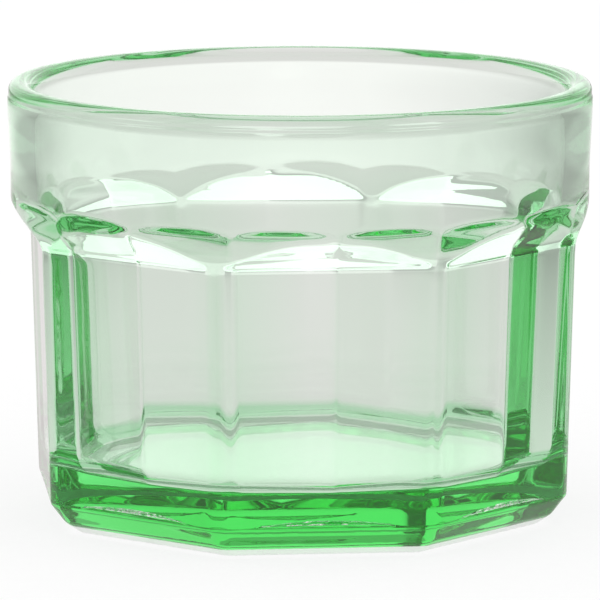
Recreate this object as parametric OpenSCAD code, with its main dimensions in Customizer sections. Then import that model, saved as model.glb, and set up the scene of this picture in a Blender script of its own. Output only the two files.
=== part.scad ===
// Low pressed-glass tumbler: round band and rim above eight flat panels, thick solid base.
// Millimetres. +Z is up, the origin is the centre of the foot, one panel faces -Y.

/* [Overall] */
// Height over the rim
glass_h = 60; // [52:0.5:90]
// Outer diameter at the rim
rim_d = 80; // [70:0.5:100]
// Number of flat panels round the body
panel_count = 8; // [6:1:12]
// Turn of the panels about the axis, in degrees
panel_turn = 0; // [0:1:45]

/* [Rim] */
// Thickness of the glass at the rim
lip_t = 3.75; // [3:0.05:5]
// Radius of the rim's outer edge
lip_round_out = 1.2; // [0.6:0.1:1.4]
// Radius of the rim's inner edge
lip_round_in = 2; // [0.8:0.1:2.2]
// Step of the parting line, where the rim ring met the outer mould
seam_step = 0.12; // [0.02:0.01:0.4]
// Height of the parting line's rounded ridge
seam_h = 0.5; // [0.2:0.05:1]

/* [Band] */
// Height of the round band, from the top of the shoulder to the rim
band_h = 15.4; // [11:0.1:19]
// How far the band draws in, on the radius, from the rim to the shoulder
band_draft = 0.4; // [0:0.05:1]
// Plain stretch of the band above the shoulder, before it starts to widen
band_plain = 2; // [1:0.1:3]
// Thickness of the glass at the foot of the band
band_t = 3.6; // [3:0.1:4.6]

/* [Panels] */
// Height of the curved shoulder above a post
shoulder_h = 7.8; // [4:0.1:10]
// Height of the curve at the arched top of a panel
arch_h = 5.8; // [3:0.1:8]
// How far the middle of a panel lies behind the band
panel_in = 3.4; // [2:0.1:4.5]
// How far the posts between the panels lie behind the band
post_in = 0.9; // [0.2:0.05:1.5]
// How far posts and panels draw in, on the radius, from the shoulder to the foot
panel_draft = 0.95; // [0.2:0.05:2]

/* [Foot] */
// Height of the upper bevel's top edge
bevel_h = 4.2; // [2.5:0.1:5]
// How far the upper, steep bevel draws in, on the radius
bevel_in = 1.95; // [1:0.05:3]
// Height of the lower, flat bevel's top edge
edge_h = 1.6; // [0.6:0.1:2]
// How far the lower bevel draws in, on the radius
edge_in = 2.3; // [1:0.1:3]
// Width of the ring that the glass stands on, at the middle of a panel
stand_w = 2.5; // [1.5:0.1:5]
// Depth of the flat hollow under the base
hollow_depth = 1.4; // [0.4:0.1:2.5]
// Width of the curve round the edge of the hollow
hollow_curve = 1.6; // [0.8:0.1:3]

/* [Inside] */
// Thickness of the base, from the foot to the floor
base_t = 8.4; // [6:0.1:14]
// Radius between the floor and the wall
floor_fillet = 5; // [2:0.5:8]
// Narrow flats on the inside, behind each outer panel
flats_per_panel = 2; // [1:1:3]
// Thinnest glass behind a panel, where two inner flats meet
wall_t = 2.3; // [1.8:0.05:4.2]
// Height of the small arches at the top of the inner flats
inside_arch_h = 4; // [2:0.1:6]
// How far the inner flats draw in from the shoulder to the floor
inside_draft = 1; // [0.4:0.1:2.5]

/* [Hidden] */

// Steps in each curve of a profile, and facets of a full turn
curve_steps = 12;
round_fn = 180;
// Overrun of the cuts past the faces that they open
overrun = 2;
// How far an arch runs past the round face, and a fillet past the floor, so that the faces cross
arch_overrun = 0.3;
fillet_dip = 0.05;

// Outside: radii and heights
rim_r = rim_d / 2;
band_r = rim_r - band_draft;
shoulder_top = glass_h - band_h;
shoulder_foot = shoulder_top - shoulder_h;
post_r = band_r - post_in;
post_foot_r = post_r - panel_draft;
panel_r = band_r - panel_in;
panel_foot_r = panel_r - panel_draft;
stand_r = panel_foot_r - bevel_in - edge_in;
hollow_r = stand_r - stand_w;
seam_z = glass_h - lip_round_out - seam_h;

// Inside: radii and heights
lip_r = rim_r - lip_t;
band_inside_r = min(band_r - band_t, lip_r);
flat_count = panel_count * flats_per_panel;
flat_r = (panel_r - wall_t) * cos(180 / flat_count);
flat_foot_r = flat_r - inside_draft;
fillet_z = base_t + floor_fillet - fillet_dip;

// Smooth step from 0 to 1, flat at both ends
function ease(t) = t * t * (3 - 2 * t);

// S-curve from one point of a profile to a higher one, upright at both ends
function s_curve(r0, z0, r1, z1) =
    [for (i = [0 : curve_steps]) let (t = i / curve_steps) [r0 + (r1 - r0) * ease(t), z0 + (z1 - z0) * t]];

// Arc of a profile about a centre, between two angles
function arc(r0, z0, radius, from, to) =
    [for (i = [0 : curve_steps]) let (a = from + (to - from) * i / curve_steps)
        [r0 + radius * cos(a), z0 + radius * sin(a)]];

// Two bevels of the foot, drawn up to a given radius
function foot_bevels(r) = [[r - bevel_in - edge_in, 0], [r - bevel_in, edge_h], [r, bevel_h]];

// Outline of the round blank: foot, posts, shoulder, band, parting line and rim
blank_outline = concat(
    [[0, 0]],
    foot_bevels(post_foot_r),
    s_curve(post_r, shoulder_foot, band_r, shoulder_top),
    s_curve(band_r, shoulder_top + band_plain, rim_r, seam_z - seam_h),
    [[rim_r - seam_step, seam_z]],
    arc(rim_r - seam_step - lip_round_out, glass_h - lip_round_out, lip_round_out, 0, 90),
    [[0, glass_h]]
);

// Outline of the round part of the inside: floor, wall behind the band, and the rim
inside_outline = concat(
    [[0, base_t], [band_inside_r, base_t], [band_inside_r, shoulder_top], [lip_r, glass_h - lip_round_in]],
    arc(lip_r + lip_round_in, glass_h - lip_round_in, lip_round_in, 180, 90),
    [[lip_r + lip_round_in, glass_h + overrun], [0, glass_h + overrun]]
);

// Outline of the hollow underneath, with an S-curve from the stand ring up to its flat top
hollow_outline = concat(
    [[0, -overrun], [hollow_r, -overrun]],
    [for (p = s_curve(0, hollow_r, hollow_depth, hollow_r - hollow_curve)) [p[1], p[0]]],
    [[0, hollow_depth]]
);

// Side view of what is taken off for one panel: bevels, flat panel and its arched top
panel_outline = concat(
    [[stand_r - overrun * edge_in / edge_h, -overrun]],
    foot_bevels(panel_foot_r),
    s_curve(panel_r, shoulder_top - arch_h, band_r + arch_overrun, shoulder_top),
    [[rim_r + overrun, shoulder_top], [rim_r + overrun, -overrun]]
);

// Side view of the glass left behind one inner flat: fillet, flat and its small arch
flat_outline = concat(
    [[flat_foot_r - floor_fillet, base_t - overrun]],
    arc(flat_foot_r - floor_fillet, fillet_z, floor_fillet, -90, 0),
    s_curve(flat_r, shoulder_top - inside_arch_h, band_inside_r + arch_overrun, shoulder_top),
    [[rim_r + overrun, shoulder_top], [rim_r + overrun, base_t - overrun]]
);

// Turned profile
module round_solid(outline) {
    rotate_extrude($fn = round_fn) polygon(outline);
}

// The same side view repeated round the axis, wide enough to reach past the rim
module flats_round(outline, count, turn) {
    for (i = [0 : count - 1])
        rotate([0, 0, panel_turn - 90 + turn + 360 * i / count])
            rotate([90, 0, 0])
                linear_extrude(height = 2 * rim_r, center = true) polygon(outline);
}

// Room for the drink: round behind the band, with narrow flats below
module inside() {
    difference() {
        round_solid(inside_outline);
        flats_round(flat_outline, flat_count, 180 / flat_count);
    }
}

module glass() {
    color([0.36, 0.78, 0.42, 0.45])
        difference() {
            round_solid(blank_outline);
            inside();
            flats_round(panel_outline, panel_count, 0);
            round_solid(hollow_outline);
        }
}

glass();
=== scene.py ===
"""Low pressed-glass tumbler: round band and rim above eight flat panels, thick base, clear green glass."""

import math

import bpy
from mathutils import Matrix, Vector


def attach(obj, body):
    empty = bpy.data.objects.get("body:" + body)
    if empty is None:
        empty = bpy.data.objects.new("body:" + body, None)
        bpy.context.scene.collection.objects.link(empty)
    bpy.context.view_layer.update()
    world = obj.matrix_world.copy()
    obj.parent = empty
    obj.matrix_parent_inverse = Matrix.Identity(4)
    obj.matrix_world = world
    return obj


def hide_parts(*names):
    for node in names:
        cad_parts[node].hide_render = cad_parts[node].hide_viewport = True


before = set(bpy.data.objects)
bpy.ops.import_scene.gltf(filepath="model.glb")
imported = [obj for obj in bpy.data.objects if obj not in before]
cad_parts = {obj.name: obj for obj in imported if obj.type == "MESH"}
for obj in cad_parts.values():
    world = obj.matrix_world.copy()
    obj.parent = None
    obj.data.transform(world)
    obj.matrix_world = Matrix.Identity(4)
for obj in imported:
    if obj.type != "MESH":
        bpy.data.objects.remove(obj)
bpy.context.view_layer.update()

MM = 0.001

# Outside of the glass, in millimetres: heights above the foot and radii from the axis
GLASS_H = 60.0
RIM_R = 40.0
BAND_R = 39.6
BAND_PLAIN = 2.0
SHOULDER_TOP = 44.6
SHOULDER_FOOT = 36.8
POST_R = 38.7

# Panels, by the middle of a side: radius, how far they draw in to the foot, and both ends of the arch
PANELS = 8
PANEL_R = 36.2
PANEL_DRAFT = 0.95
ARCH_FOOT = 38.6
ARCH_END = (39.75, 44.6)

# Foot: two bevels, the ring that the glass stands on and the flat hollow inside it
BEVEL_H = 4.2
BEVEL_IN = 1.95
EDGE_H = 1.6
EDGE_IN = 2.3
HOLLOW_R = 28.5
HOLLOW_H = 1.4
HOLLOW_CURVE = 1.6

# Rim: parting line and the two rounded edges of the lip
SEAM_H = 0.5
SEAM_STEP = 0.12
LIP_T = 3.75
LIP_OUT = 1.2
LIP_IN = 2.0

# Inside: floor, and the round wall behind the band and, before the flats are pressed, behind the panels
FLOOR_Z = 8.4
FLOOR_FILLET = 3.0
INSIDE_R = 36.0
INSIDE_LOW_R = 35.2

# Sixteen narrow flats inside, by the middle of a flat: radius at the top, how far they draw in to the
# floor, the points of their small arch and of the ledge over it, and their turn against the panels
FLATS = 16
FLAT_R = 33.5
FLAT_DRAFT = 1.0
FLAT_ARCH = [(FLAT_R, 36.5), (33.6, 40.4), (33.88, 41.3), (34.36, 42.2), (34.86, 43.1), (35.36, 44.0),
             (36.3, 44.75), (42.0, 47.5)]
FLAT_TURN = math.radians(2.0)

# How far the form of the flats dips under the floor, so that the floor itself stays round
FLOOR_DIP = 0.05

# Columns round the glass
COLUMNS = 512

# Distance between rows, by the part of the profile
CURVE_STEP = 0.34
WALL_STEP = 3.0
HOLLOW_TOP_STEP = 9.0
HOLLOW_EDGE_STEP = 0.3
RING_STEP = 0.45
EDGE_STEP = 0.4
BAND_FOOT_STEP = 0.5
BAND_STEP = 1.0
SEAM_ROW_STEP = 0.14
LIP_OUT_STEP = 0.22
LIP_IN_STEP = 0.3
ARCH_STEP = 0.2
INSIDE_STEP = 1.6
FLOOR_EDGE_STEP = 0.5
FLOOR_STEP = 6.0
FLAT_FOOT_STEP = 0.3

# Closer rows next to a curve, so that its shading doesn't run into the plain wall: their reach, the small
# change of radius that a drawn-in wall has over it, and the height above which the inside has them too
NEAR_CURVE = 1.0
ABOVE_BEVEL = 1.4
NEAR_FLOOR_EDGE = 1.5
BEVEL_DRIFT = 0.04
POST_DRIFT = 0.03
FINE_ROWS_FROM = 38.5

# How far a form may move the surface, how far it runs over the rim, how far above the shoulder the light
# smoothing after it reaches, its strength and repeats, and the distance at which points are one
WRAP_REACH = 5.0
FORM_OVER = 2
SMOOTH_TO = 1.5
SMOOTH_FACTOR = 0.5
SMOOTH_REPEAT = 2
SAME_POINT = 0.005


def ease(t):
    """Smooth step from 0 to 1, flat at both ends."""
    return t * t * (3 - 2 * t)


def straight(start, end, step):
    """Points from start to end, start left out, about one step apart."""
    count = max(1, round(math.dist(start, end) / step))
    return [(start[0] + (end[0] - start[0]) * i / count, start[1] + (end[1] - start[1]) * i / count)
            for i in range(1, count + 1)]


def s_curve(start, end, step, upright=True):
    """Points of an S-curve from start to end, start left out, upright or level at both ends."""
    count = max(2, round(math.dist(start, end) / step))
    points = []
    for i in range(1, count + 1):
        t = i / count
        across, up = (ease(t), t) if upright else (t, ease(t))
        points.append((start[0] + (end[0] - start[0]) * across, start[1] + (end[1] - start[1]) * up))
    return points


def arc(centre, radius, start, end, step):
    """Points of an arc about centre, both ends kept, from one angle to another in degrees."""
    count = max(2, round(radius * math.radians(abs(end - start)) / step))
    angles = [math.radians(start + (end - start) * i / count) for i in range(count + 1)]
    return [(centre[0] + radius * math.cos(a), centre[1] + radius * math.sin(a)) for a in angles]


def foot_bevels(radius):
    """Corners of the two bevels that lead down from a radius to the foot."""
    return [(radius - BEVEL_IN - EDGE_IN, 0.0), (radius - BEVEL_IN, EDGE_H), (radius, BEVEL_H)]


def outside_rows():
    """Profile of the round blank from the middle of the hollow out, up the wall and over the lip."""
    post_foot = POST_R - PANEL_DRAFT
    ring_edge, low_edge, high_edge = foot_bevels(post_foot)
    rows = [(0.0, HOLLOW_H)]
    rows += straight(rows[-1], (HOLLOW_R - HOLLOW_CURVE - NEAR_CURVE, HOLLOW_H), HOLLOW_TOP_STEP)
    rows += straight(rows[-1], (HOLLOW_R - HOLLOW_CURVE, HOLLOW_H), HOLLOW_EDGE_STEP)
    rows += s_curve(rows[-1], (HOLLOW_R, 0.0), HOLLOW_EDGE_STEP, upright=False)
    rows += straight(rows[-1], ring_edge, RING_STEP)
    rows += straight(rows[-1], low_edge, EDGE_STEP)
    rows += straight(rows[-1], high_edge, CURVE_STEP)
    rows += straight(rows[-1], (post_foot + BEVEL_DRIFT, BEVEL_H + ABOVE_BEVEL), CURVE_STEP)
    rows += straight(rows[-1], (POST_R - POST_DRIFT, SHOULDER_FOOT - NEAR_CURVE), WALL_STEP)
    rows += straight(rows[-1], (POST_R, SHOULDER_FOOT), CURVE_STEP)
    rows += s_curve(rows[-1], (BAND_R, SHOULDER_TOP), CURVE_STEP)
    rows += straight(rows[-1], (BAND_R, SHOULDER_TOP + BAND_PLAIN), BAND_FOOT_STEP)
    seam_z = GLASS_H - LIP_OUT - SEAM_H
    rows += s_curve(rows[-1], (RIM_R, seam_z - SEAM_H), BAND_STEP)
    rows += s_curve(rows[-1], (RIM_R - SEAM_STEP, seam_z), SEAM_ROW_STEP)
    return rows + arc((RIM_R - SEAM_STEP - LIP_OUT, GLASS_H - LIP_OUT), LIP_OUT, 0, 90, LIP_OUT_STEP)


def inside_rows():
    """Profile of the round inside from the top of the lip down to the middle of the floor."""
    lip_r = RIM_R - LIP_T
    rows = arc((lip_r + LIP_IN, GLASS_H - LIP_IN), LIP_IN, 90, 180, LIP_IN_STEP)
    rows += straight(rows[-1], (INSIDE_R, SHOULDER_TOP + NEAR_CURVE), INSIDE_STEP)
    rows += straight(rows[-1], (INSIDE_R, FINE_ROWS_FROM), CURVE_STEP)
    rows += straight(rows[-1], (INSIDE_LOW_R, FLOOR_Z + FLOOR_FILLET + NEAR_CURVE), WALL_STEP)
    rows += straight(rows[-1], (INSIDE_LOW_R, FLOOR_Z + FLOOR_FILLET), FLOOR_EDGE_STEP)
    fillet_centre = (INSIDE_LOW_R - FLOOR_FILLET, FLOOR_Z + FLOOR_FILLET)
    rows += arc(fillet_centre, FLOOR_FILLET, 0, -90, FLOOR_EDGE_STEP)[1:]
    floor_edge = FLAT_R - FLAT_DRAFT - FLOOR_FILLET - NEAR_FLOOR_EDGE
    rows += straight(rows[-1], (floor_edge, FLOOR_Z), FLOOR_EDGE_STEP)
    return rows + straight(rows[-1], (0.0, FLOOR_Z), FLOOR_STEP)


def over_the_rim(height):
    """End of a form's profile: out at a height past the band, up past the rim and back to the axis."""
    far, high = RIM_R + WRAP_REACH, GLASS_H + FORM_OVER
    return [(far, height), (far, high), (0.0, high)]


def panel_rows():
    """Profile of the eight-sided form that the panels and bevels follow, by the middle of a side."""
    low = foot_bevels(PANEL_R - PANEL_DRAFT)
    below = (low[0][0] - EDGE_IN, -EDGE_H)
    rows = [(0.0, below[1]), below] + low + [(PANEL_R, ARCH_FOOT)]
    rows += s_curve(rows[-1], ARCH_END, ARCH_STEP)
    return rows + over_the_rim(ARCH_END[1])


def flat_rows():
    """Profile of the sixteen-sided form of the inside, by the middle of a flat."""
    centre = (FLAT_R - FLAT_DRAFT - FLOOR_FILLET, FLOOR_Z + FLOOR_FILLET - FLOOR_DIP)
    rows = [(0.0, FLOOR_Z - FLOOR_DIP)] + arc(centre, FLOOR_FILLET, -90, 0, FLAT_FOOT_STEP)
    return rows + FLAT_ARCH + over_the_rim(FLAT_ARCH[-1][1])


def edit(obj):
    """Edit mode on one object, with all of its vertices selected."""
    bpy.ops.object.select_all(action="DESELECT")
    obj.select_set(True)
    bpy.context.view_layer.objects.active = obj
    bpy.ops.object.mode_set(mode="EDIT")
    bpy.ops.mesh.select_mode(type="VERT")
    bpy.ops.mesh.select_all(action="SELECT")


def leave_edit():
    bpy.ops.object.mode_set(mode="OBJECT")


def turned(name, rows, steps, start=0.0, by_sides=False):
    """A closed form spun from a profile. With by_sides the profile is that of a side's middle."""
    stretch = 1 / math.cos(math.pi / steps) if by_sides else 1.0
    bpy.ops.object.select_all(action="DESELECT")
    bpy.ops.mesh.primitive_plane_add(size=MM, location=(0, 0, 0))
    obj = bpy.context.object
    obj.name = name
    edit(obj)
    bpy.ops.mesh.merge(type="CENTER")
    across = Vector((math.cos(start), math.sin(start), 0)) * stretch * MM
    here = Vector((0, 0, 0))
    for i, (radius, height) in enumerate(rows):
        there = across * radius + Vector((0, 0, height * MM))
        if i == 0:
            bpy.ops.transform.translate(value=there)
        else:
            bpy.ops.mesh.extrude_region_move(TRANSFORM_OT_translate={"value": there - here})
        here = there
    bpy.ops.mesh.select_all(action="SELECT")
    bpy.ops.mesh.spin(steps=steps, angle=2 * math.pi, center=(0, 0, 0), axis=(0, 0, 1))
    bpy.ops.mesh.select_all(action="SELECT")
    bpy.ops.mesh.remove_doubles(threshold=SAME_POINT * MM)
    bpy.ops.mesh.normals_make_consistent(inside=False)
    leave_edit()
    return obj


def wrap(obj, form, inward):
    """Moves the surface onto a form, into the glass or out of it, where the form is in reach."""
    shrink = obj.modifiers.new("press", "SHRINKWRAP")
    shrink.wrap_method = "PROJECT"
    shrink.target = form
    shrink.use_negative_direction = inward
    shrink.use_positive_direction = not inward
    shrink.cull_face = "BACK"
    shrink.project_limit = WRAP_REACH * MM
    bpy.context.view_layer.objects.active = obj
    bpy.ops.object.modifier_apply(modifier=shrink.name)
    bpy.data.objects.remove(form)


def soften(obj, top):
    """Smooths the mesh a little below a height, as fire polish rounds its edges."""
    edit(obj)
    bpy.ops.mesh.select_all(action="DESELECT")
    leave_edit()
    for vertex in obj.data.vertices:
        vertex.select = vertex.co.z < top
    bpy.ops.object.mode_set(mode="EDIT")
    bpy.ops.mesh.vertices_smooth(factor=SMOOTH_FACTOR, repeat=SMOOTH_REPEAT)
    bpy.ops.mesh.select_all(action="SELECT")
    bpy.ops.mesh.normals_make_consistent(inside=False)
    leave_edit()


def model_glass():
    obj = turned("tumbler", outside_rows() + inside_rows(), COLUMNS)
    post_at = math.pi / PANELS
    wrap(obj, turned("panel_form", panel_rows(), PANELS, post_at, by_sides=True), inward=True)
    wrap(obj, turned("flat_form", flat_rows(), FLATS, FLAT_TURN, by_sides=True), inward=False)
    soften(obj, (SHOULDER_TOP + SMOOTH_TO) * MM)
    bpy.ops.object.shade_smooth()
    return obj


# Sockets of a colour Mix node: its share, its two colours and its result
MIX_SHARE, MIX_FIRST, MIX_SECOND, MIX_RESULT = 0, 6, 7, 2


def node(tree, kind, inputs=None, **settings):
    """A shader node, with values for its inputs by name or number and for its settings."""
    new = tree.nodes.new(kind)
    for key, value in settings.items():
        setattr(new, key, value)
    for key, value in (inputs or {}).items():
        new.inputs[key].default_value = value
    return new


def ramp(tree, stops):
    """A colour ramp with (position, colour) stops."""
    new = tree.nodes.new("ShaderNodeValToRGB")
    marks = new.color_ramp.elements
    while len(marks) > 1:
        marks.remove(marks[-1])
    marks[0].position, marks[0].color = stops[0][0], (*stops[0][1], 1)
    for position, colour in stops[1:]:
        marks.new(position).color = (*colour, 1)
    return new


def remap(tree, value, low, high, to_low=0.0, to_high=1.0):
    """A Map Range node on an output: its range, and what its two ends become."""
    new = node(tree, "ShaderNodeMapRange", {"From Min": low, "From Max": high,
                                            "To Min": to_low, "To Max": to_high})
    tree.links.new(value, new.inputs["Value"])
    return new


def joined(tree, operation, first, second):
    """A Math node on two outputs."""
    new = node(tree, "ShaderNodeMath", operation=operation)
    tree.links.new(first, new.inputs[0])
    tree.links.new(second, new.inputs[1])
    return new


def colour_mix(tree, share, first):
    """A colour Mix node that starts from a plain colour, with its share from an output."""
    new = node(tree, "ShaderNodeMix", {MIX_FIRST: first}, data_type="RGBA")
    tree.links.new(share, new.inputs[MIX_SHARE])
    return new


def bent_ray(tree):
    """1 for rays that come from a reflection or through glass, 0 for the others."""
    path = node(tree, "ShaderNodeLightPath")
    return joined(tree, "MAXIMUM", path.outputs["Is Glossy Ray"], path.outputs["Is Transmission Ray"])


WHITE = (1.0, 1.0, 1.0, 1.0)

# Index of the glass, and the green that it takes away per metre of path, as a density and the colour
# that stays
GLASS_IOR = 1.52
ABSORB_DENSITY = 33.0
ABSORB_COLOUR = (0.03, 0.85, 0.2, 1.0)

# Deeper green of the thick base, seen from the side: its colour, its share by height from 0 to TINT_TOP,
# and the radii in metres between which it comes in
BASE_TINT = (0.42, 0.82, 0.5, 1.0)
BASE_TINT_AT = [(0.08, (0, 0, 0)), (0.1, (1, 1, 1)), (0.36, (1, 1, 1)), (0.44, (0, 0, 0))]
TINT_TOP = 0.02
TINT_FROM_R, TINT_FULL_R = 0.0300, 0.0315

# Ground edge of the foot: its top and the height over which it ends, the radii between which it starts,
# in metres, how much of it looks white and how dull it is
GROUND_H = 0.0013
GROUND_FADE = 0.0002
GROUND_FROM_R, GROUND_FULL_R = 0.0288, 0.0292
GROUND_WHITE = 0.75
GROUND_DULL = 0.35

# Polish: noise that dulls the surface a little in patches, and slow waves of the pressed surface
POLISH_NOISE = {"Scale": 900.0, "Detail": 3.0}
POLISH_LOW, POLISH_HIGH, POLISH_DULL = 0.45, 0.75, 0.03
WAVE_NOISE = {"Scale": 140.0, "Detail": 2.0}
WAVE_BUMP = {"Strength": 0.06, "Distance": 0.0001}


def glass_material():
    mat = bpy.data.materials.new("green_glass")
    mat.use_nodes = True
    tree = mat.node_tree
    link = tree.links.new
    shader = tree.nodes["Principled BSDF"]
    shader.inputs["IOR"].default_value = GLASS_IOR
    place = node(tree, "ShaderNodeTexCoord")
    split = node(tree, "ShaderNodeSeparateXYZ")
    link(place.outputs["Object"], split.inputs[0])
    flat = node(tree, "ShaderNodeVectorMath", {1: (1.0, 1.0, 0.0)}, operation="MULTIPLY")
    link(place.outputs["Object"], flat.inputs[0])
    span = node(tree, "ShaderNodeVectorMath", operation="LENGTH")
    link(flat.outputs["Vector"], span.inputs[0])
    height, radius = split.outputs["Z"], span.outputs["Value"]

    level = ramp(tree, BASE_TINT_AT)
    link(remap(tree, height, 0.0, TINT_TOP).outputs[0], level.inputs[0])
    side = remap(tree, radius, TINT_FROM_R, TINT_FULL_R)
    amount = joined(tree, "MULTIPLY", level.outputs[0], side.outputs[0])
    tint = colour_mix(tree, amount.outputs[0], WHITE)
    tint.inputs[MIX_SECOND].default_value = BASE_TINT
    link(tint.outputs[MIX_RESULT], shader.inputs["Base Color"])

    edge = remap(tree, height, GROUND_H - GROUND_FADE, GROUND_H, 1.0, 0.0)
    ring = remap(tree, radius, GROUND_FROM_R, GROUND_FULL_R)
    ground = joined(tree, "MULTIPLY", edge.outputs[0], ring.outputs[0])
    clear = node(tree, "ShaderNodeMath", {1: -GROUND_WHITE, 2: 1.0}, operation="MULTIPLY_ADD")
    link(ground.outputs[0], clear.inputs[0])
    link(clear.outputs[0], shader.inputs["Transmission Weight"])

    polish = node(tree, "ShaderNodeTexNoise", POLISH_NOISE)
    link(place.outputs["Object"], polish.inputs["Vector"])
    rough = remap(tree, polish.outputs[0], POLISH_LOW, POLISH_HIGH, 0.0, POLISH_DULL)
    dull = node(tree, "ShaderNodeMath", {1: GROUND_DULL}, operation="MULTIPLY_ADD")
    link(ground.outputs[0], dull.inputs[0])
    link(rough.outputs[0], dull.inputs[2])
    link(dull.outputs[0], shader.inputs["Roughness"])
    waves = node(tree, "ShaderNodeTexNoise", WAVE_NOISE)
    link(place.outputs["Object"], waves.inputs["Vector"])
    bump = node(tree, "ShaderNodeBump", WAVE_BUMP)
    link(waves.outputs[0], bump.inputs["Height"])
    link(bump.outputs[0], shader.inputs["Normal"])

    volume = node(tree, "ShaderNodeVolumeAbsorption", {"Color": ABSORB_COLOUR, "Density": ABSORB_DENSITY})
    link(volume.outputs[0], tree.nodes["Material Output"].inputs["Volume"])
    return mat


# Floor: side in metres, two greys of its fine grain, and the share of its own white that evens out its
# shadow
FLOOR_SIZE = 6
FLOOR_GRAIN = {"Scale": 400.0, "Detail": 3.0}
FLOOR_GREYS = [(0.3, (0.93, 0.93, 0.93)), (0.7, (0.96, 0.96, 0.96))]
FLOOR_GLOW = 0.8

# Painted light and shade on the floor where it is seen through the glass or in a reflection: a slightly
# pink painted shade near the glass and a painted light, brighter than white, far behind it, and the two
# places behind it between which it turns; a painted shade at the sides, its level, and the two places
# aside between which it drops
FLOOR_NEAR_SHADE = (0.84, 0.77, 0.8)
FLOOR_FAR_LIGHT = (1.1, 1.02, 1.06)
FLOOR_NEAR, FLOOR_FAR = 0.27, 0.38
FLOOR_SIDE_SHADE = 0.55
SIDE_FROM, SIDE_FULL = 0.07, 0.22


def floor_material():
    mat = bpy.data.materials.new("pale_floor")
    mat.use_nodes = True
    tree = mat.node_tree
    link = tree.links.new
    tree.nodes.remove(tree.nodes["Principled BSDF"])
    place = node(tree, "ShaderNodeTexCoord")
    grain = node(tree, "ShaderNodeTexNoise", FLOOR_GRAIN)
    link(place.outputs["Object"], grain.inputs["Vector"])
    shade = ramp(tree, FLOOR_GREYS)
    link(grain.outputs[0], shade.inputs[0])
    matt = node(tree, "ShaderNodeBsdfDiffuse")
    link(shade.outputs[0], matt.inputs[0])

    # Painted shade near the glass and at its sides and painted light far behind it, seen only through the
    # glass and in reflections
    split = node(tree, "ShaderNodeSeparateXYZ")
    link(place.outputs["Object"], split.inputs[0])
    behind = remap(tree, split.outputs["Y"], FLOOR_NEAR, FLOOR_FAR)
    behind.interpolation_type = "SMOOTHSTEP"
    painted_light_shade = ramp(tree, [(0.0, FLOOR_NEAR_SHADE), (1.0, FLOOR_FAR_LIGHT)])
    link(behind.outputs[0], painted_light_shade.inputs[0])
    away = node(tree, "ShaderNodeMath", operation="ABSOLUTE")
    link(split.outputs["X"], away.inputs[0])
    side_shade = remap(tree, away.outputs[0], SIDE_FROM, SIDE_FULL, 1.0, FLOOR_SIDE_SHADE)
    shaded_floor = node(tree, "ShaderNodeVectorMath", operation="SCALE")
    link(side_shade.outputs[0], shaded_floor.inputs["Scale"])
    link(painted_light_shade.outputs[0], shaded_floor.inputs[0])

    through = bent_ray(tree)
    colour = colour_mix(tree, through.outputs[0], WHITE)
    link(shaded_floor.outputs[0], colour.inputs[MIX_SECOND])
    glow = node(tree, "ShaderNodeEmission")
    link(colour.outputs[MIX_RESULT], glow.inputs["Color"])
    share = remap(tree, through.outputs[0], 0.0, 1.0, FLOOR_GLOW, 1.0)
    mix = node(tree, "ShaderNodeMixShader")
    link(share.outputs[0], mix.inputs[0])
    link(matt.outputs[0], mix.inputs[1])
    link(glow.outputs[0], mix.inputs[2])
    link(mix.outputs[0], tree.nodes["Material Output"].inputs["Surface"])
    return mat


# Brightness of the studio, and through the glass from behind the camera (0) to behind the glass (1)
WORLD_PLAIN = 1.1
WORLD_DEPTH = [(0.0, 0.15), (0.4, 0.2), (0.6, 0.75), (0.8, 1.1), (1.0, 1.4)]


def build_world():
    """White studio that looks darker through the glass at the sides and behind the camera."""
    world = bpy.data.worlds.new("studio")
    bpy.context.scene.world = world
    world.use_nodes = True
    tree = world.node_tree
    link = tree.links.new
    sky = tree.nodes["Background"]
    sky.inputs["Strength"].default_value = 1.0
    place = node(tree, "ShaderNodeTexCoord")
    split = node(tree, "ShaderNodeSeparateXYZ")
    link(place.outputs["Generated"], split.inputs[0])
    depth = remap(tree, split.outputs["Y"], -1.0, 1.0)
    grey = ramp(tree, [(stop, (level, level, level)) for stop, level in WORLD_DEPTH])
    link(depth.outputs[0], grey.inputs[0])
    mix = colour_mix(tree, bent_ray(tree).outputs[0], (WORLD_PLAIN, WORLD_PLAIN, WORLD_PLAIN, 1.0))
    link(grey.outputs[0], mix.inputs[MIX_SECOND])
    link(mix.outputs[MIX_RESULT], sky.inputs["Color"])


# Camera: its turn about the glass, distance along the floor and height, the height that it aims at, all
# in metres, and its lens
CAMERA_TURN = math.radians(5.7)
CAMERA_FAR = 0.9
CAMERA_H = 0.172
AIM_H = 0.0295
SENSOR = 36.0
LENS = 398.1
CLIP_END = 20.0

# Bounces of light that a ray needs to leave the thick glass
BOUNCES = 32


def build_camera():
    bpy.ops.object.camera_add(location=(-CAMERA_FAR * math.sin(CAMERA_TURN),
                                        -CAMERA_FAR * math.cos(CAMERA_TURN), CAMERA_H))
    camera = bpy.context.object
    camera.data.sensor_width = SENSOR
    camera.data.lens = LENS
    camera.data.clip_end = CLIP_END
    aim = Vector((0, 0, AIM_H)) - camera.location
    camera.rotation_euler = aim.to_track_quat("-Z", "Y").to_euler()
    bpy.context.scene.camera = camera


tumbler = model_glass()
tumbler.data.materials.append(glass_material())
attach(tumbler, "root")
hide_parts("glass")

bpy.ops.object.select_all(action="DESELECT")
bpy.ops.mesh.primitive_plane_add(size=FLOOR_SIZE, location=(0, 0, 0))
floor = bpy.context.object
floor.name = "floor"
floor.data.materials.append(floor_material())

build_world()
build_camera()
scene = bpy.context.scene
scene.view_settings.view_transform = "Standard"
scene.cycles.max_bounces = BOUNCES
scene.cycles.glossy_bounces = BOUNCES
scene.cycles.transmission_bounces = BOUNCES
